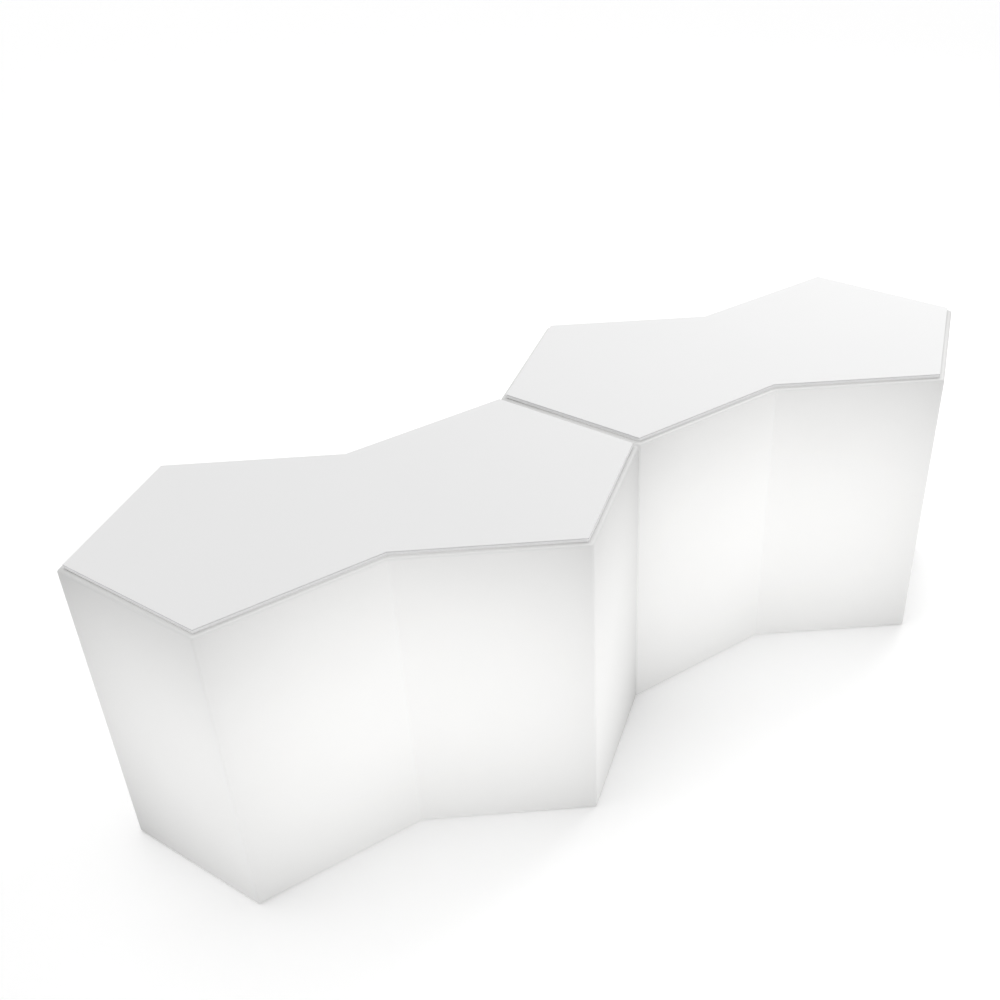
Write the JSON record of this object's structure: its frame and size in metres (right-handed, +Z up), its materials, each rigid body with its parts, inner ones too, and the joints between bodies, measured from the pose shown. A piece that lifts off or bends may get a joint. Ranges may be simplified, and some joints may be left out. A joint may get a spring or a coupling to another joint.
{
  "type": "bar counter",
  "caption": "Free-standing illuminated bar counter: twin hollow moulded modules with a waisted eight-cornered plan, loose sheet tops, screw feet and lamps inside",
  "frame": {"origin": "on the floor, under the middle of the two-module row", "axes": "+X runs along the row from the left module to the right one, -Y is the guests' side, +Z is up"},
  "size_m": [3.1974, 1.1766, 1.1],
  "materials": {
    "shell_polyethylene": "satin translucent white polyethylene, lit from inside",
    "top_laminate": "satin white compact laminate",
    "steel": "zinc-plated",
    "white_nylon": "matt white nylon",
    "clear_silicone": "soft translucent silicone",
    "brass": "turned brass",
    "cover_plastic": "matt light grey plastic",
    "grey_rubber": "matt rubber",
    "white_painted_steel": "powder-coated white",
    "holder_porcelain": "glazed porcelain",
    "bulb_plastic": "white moulded heat sink",
    "bulb_opal": "opal diffuser, lit",
    "lead_sheath": "white cable sheath",
    "foot_nylon": "black nylon glide with stem"
  },
  "bodies": {
    "counter": {"body_shell_left": "shell_polyethylene", "peg_bushes_left": "white_nylon", "plate_pads_left": "clear_silicone", "foot_inserts_left": "brass", "link_inserts_left": "brass", "lamp_cover_left": "cover_plastic", "cover_inserts_left": "brass", "cover_screws_left": "steel", "cable_grommet_left": "grey_rubber", "terminal_box_left": "cover_plastic", "lamp_stand_left": "white_painted_steel", "stand_screws_left": "steel", "lamp_holders_left": "holder_porcelain", "holder_screws_left": "steel", "bulb_bases_left": "bulb_plastic", "bulb_globes_left": "bulb_opal", "lamp_leads_left": "lead_sheath", "body_shell_right": "shell_polyethylene", "peg_bushes_right": "white_nylon", "plate_pads_right": "clear_silicone", "foot_inserts_right": "brass", "link_inserts_right": "brass", "lamp_cover_right": "cover_plastic", "cover_inserts_right": "brass", "cover_screws_right": "steel", "cable_grommet_right": "grey_rubber", "terminal_box_right": "cover_plastic", "lamp_stand_right": "white_painted_steel", "stand_screws_right": "steel", "lamp_holders_right": "holder_porcelain", "holder_screws_right": "steel", "bulb_bases_right": "bulb_plastic", "bulb_globes_right": "bulb_opal", "lamp_leads_right": "lead_sheath", "link_strap_front": "steel", "link_strap_rear": "steel", "link_bolts": "steel"},
    "top_left": {"top_plate_left": "top_laminate", "plate_pegs_left": "steel"},
    "foot_left_1": {"levelling_foot_left_1": "foot_nylon"},
    "foot_left_2": {"levelling_foot_left_2": "foot_nylon"},
    "foot_left_3": {"levelling_foot_left_3": "foot_nylon"},
    "foot_left_4": {"levelling_foot_left_4": "foot_nylon"},
    "foot_left_5": {"levelling_foot_left_5": "foot_nylon"},
    "foot_left_6": {"levelling_foot_left_6": "foot_nylon"},
    "top_right": {"top_plate_right": "top_laminate", "plate_pegs_right": "steel"},
    "foot_right_1": {"levelling_foot_right_1": "foot_nylon"},
    "foot_right_2": {"levelling_foot_right_2": "foot_nylon"},
    "foot_right_3": {"levelling_foot_right_3": "foot_nylon"},
    "foot_right_4": {"levelling_foot_right_4": "foot_nylon"},
    "foot_right_5": {"levelling_foot_right_5": "foot_nylon"},
    "foot_right_6": {"levelling_foot_right_6": "foot_nylon"}
  },
  "joints": [
    {"name": "top_left_lift", "type": "slide", "parent": "counter", "child": "top_left", "axis": [0, 0, 1], "range_m": [0, 0.1]},
    {"name": "top_right_lift", "type": "slide", "parent": "counter", "child": "top_right", "axis": [0, 0, 1], "range_m": [0, 0.1]},
    {"name": "foot_left_1_screw", "type": "slide", "parent": "counter", "child": "foot_left_1", "axis": [0, 0, -1], "range_m": [0, 0.012]},
    {"name": "foot_left_2_screw", "type": "slide", "parent": "counter", "child": "foot_left_2", "axis": [0, 0, -1], "range_m": [0, 0.012]},
    {"name": "foot_left_3_screw", "type": "slide", "parent": "counter", "child": "foot_left_3", "axis": [0, 0, -1], "range_m": [0, 0.012]},
    {"name": "foot_left_4_screw", "type": "slide", "parent": "counter", "child": "foot_left_4", "axis": [0, 0, -1], "range_m": [0, 0.012]},
    {"name": "foot_left_5_screw", "type": "slide", "parent": "counter", "child": "foot_left_5", "axis": [0, 0, -1], "range_m": [0, 0.012]},
    {"name": "foot_left_6_screw", "type": "slide", "parent": "counter", "child": "foot_left_6", "axis": [0, 0, -1], "range_m": [0, 0.012]},
    {"name": "foot_right_1_screw", "type": "slide", "parent": "counter", "child": "foot_right_1", "axis": [0, 0, -1], "range_m": [0, 0.012]},
    {"name": "foot_right_2_screw", "type": "slide", "parent": "counter", "child": "foot_right_2", "axis": [0, 0, -1], "range_m": [0, 0.012]},
    {"name": "foot_right_3_screw", "type": "slide", "parent": "counter", "child": "foot_right_3", "axis": [0, 0, -1], "range_m": [0, 0.012]},
    {"name": "foot_right_4_screw", "type": "slide", "parent": "counter", "child": "foot_right_4", "axis": [0, 0, -1], "range_m": [0, 0.012]},
    {"name": "foot_right_5_screw", "type": "slide", "parent": "counter", "child": "foot_right_5", "axis": [0, 0, -1], "range_m": [0, 0.012]},
    {"name": "foot_right_6_screw", "type": "slide", "parent": "counter", "child": "foot_right_6", "axis": [0, 0, -1], "range_m": [0, 0.012]}
  ]
}
